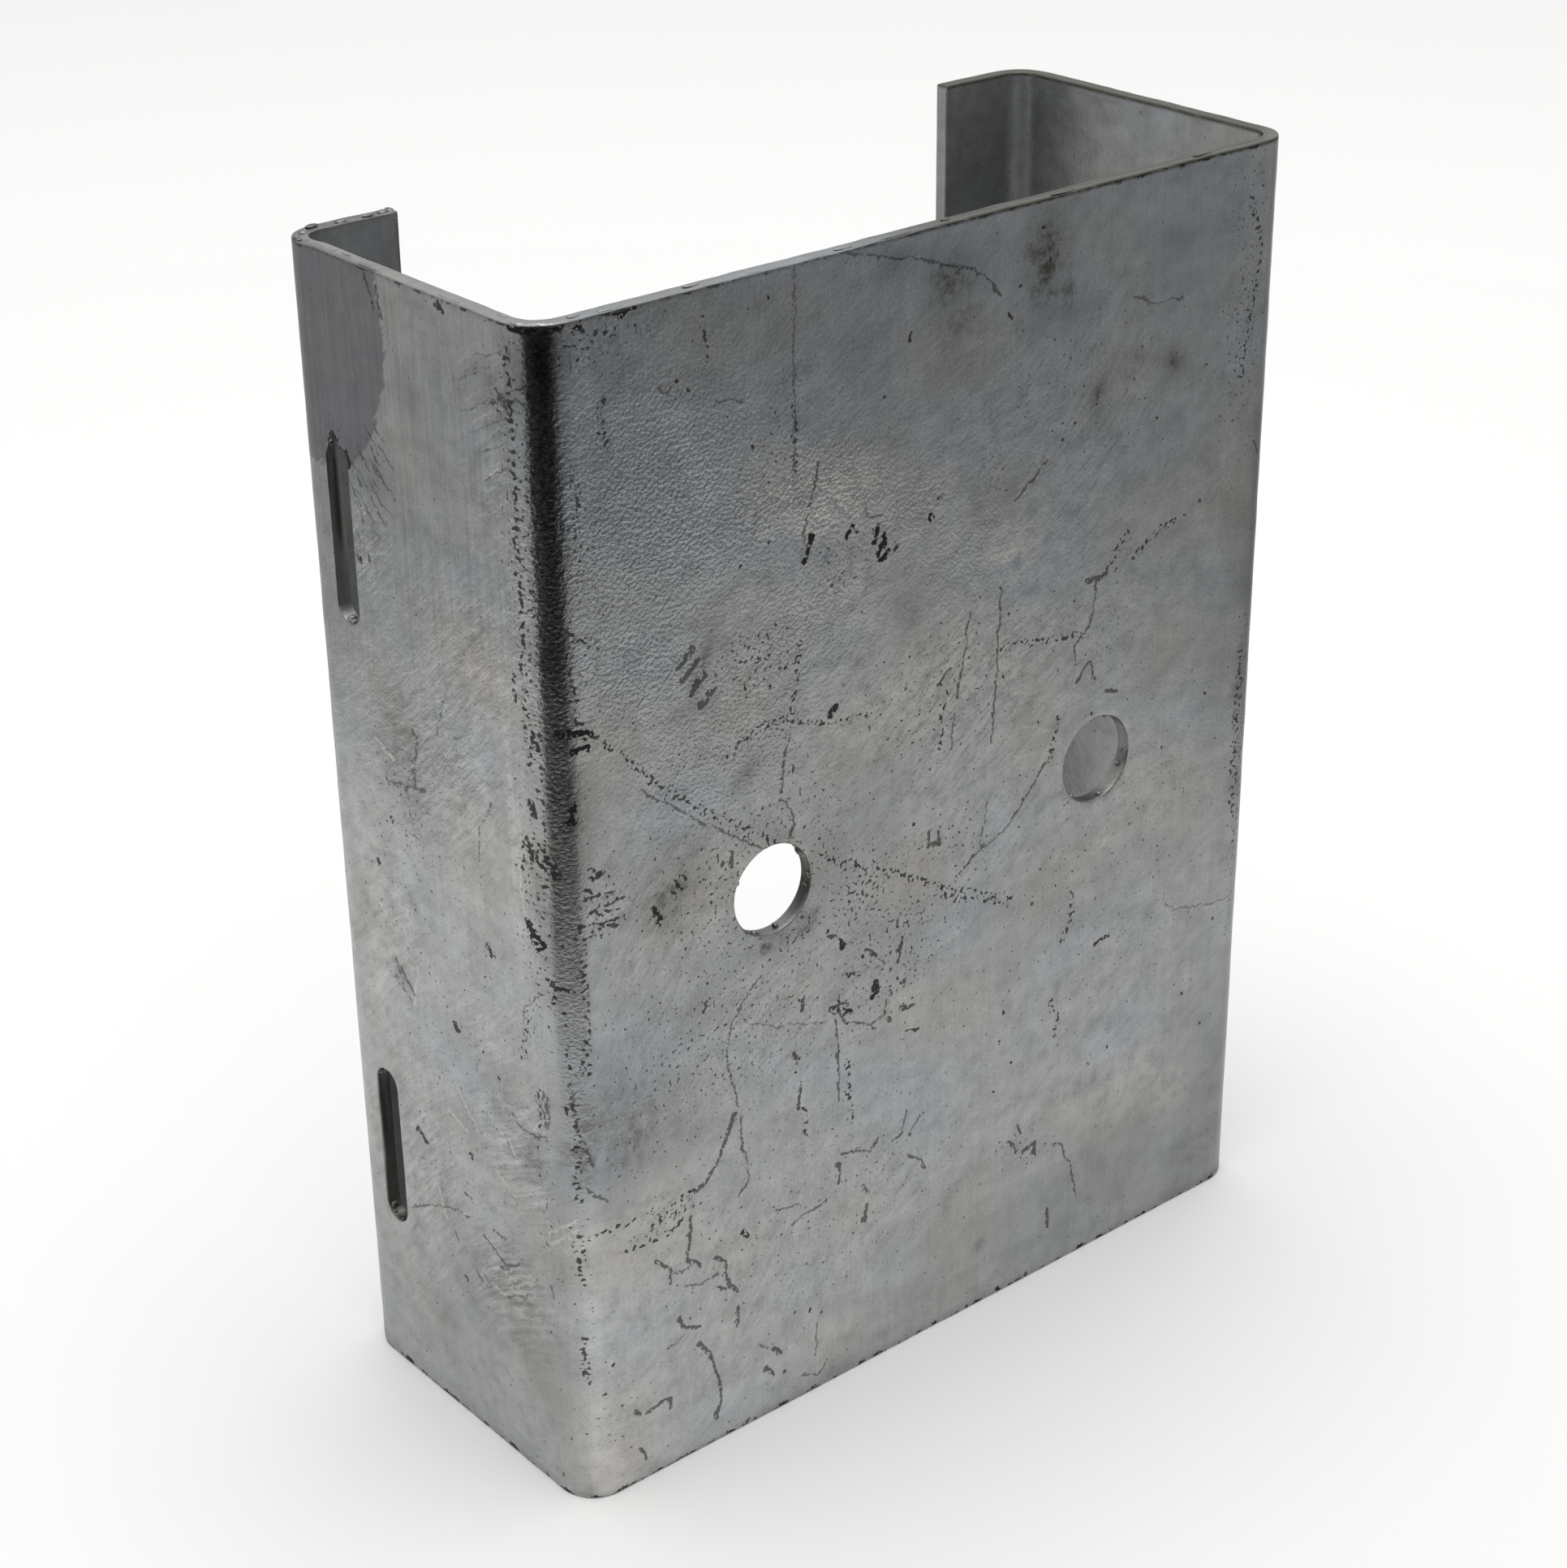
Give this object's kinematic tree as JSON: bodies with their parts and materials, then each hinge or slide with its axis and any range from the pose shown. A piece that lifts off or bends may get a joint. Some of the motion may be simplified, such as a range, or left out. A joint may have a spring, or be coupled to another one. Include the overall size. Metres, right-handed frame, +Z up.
{
  "type": "mounting bracket",
  "caption": "Lipped channel folded from galvanised steel sheet, with bolt holes through its web and upright strap slots in its flanges, to fix something to a post.",
  "frame": {"origin": "middle of the foot: halfway across the web and halfway from the web to the lips, on the end face that the channel stands on", "axes": "+X across the web, +Y from the web's outer face back to the lips, +Z up along the channel"},
  "size_m": [0.12, 0.0504, 0.1562],
  "materials": {
    "galvanised_steel": "hot-dip galvanised sheet steel, uneven satin grey with darker stains, pits and handling scratches"
  },
  "bodies": {
    "root": {"folded_channel": "galvanised_steel"}
  },
  "joints": []
}
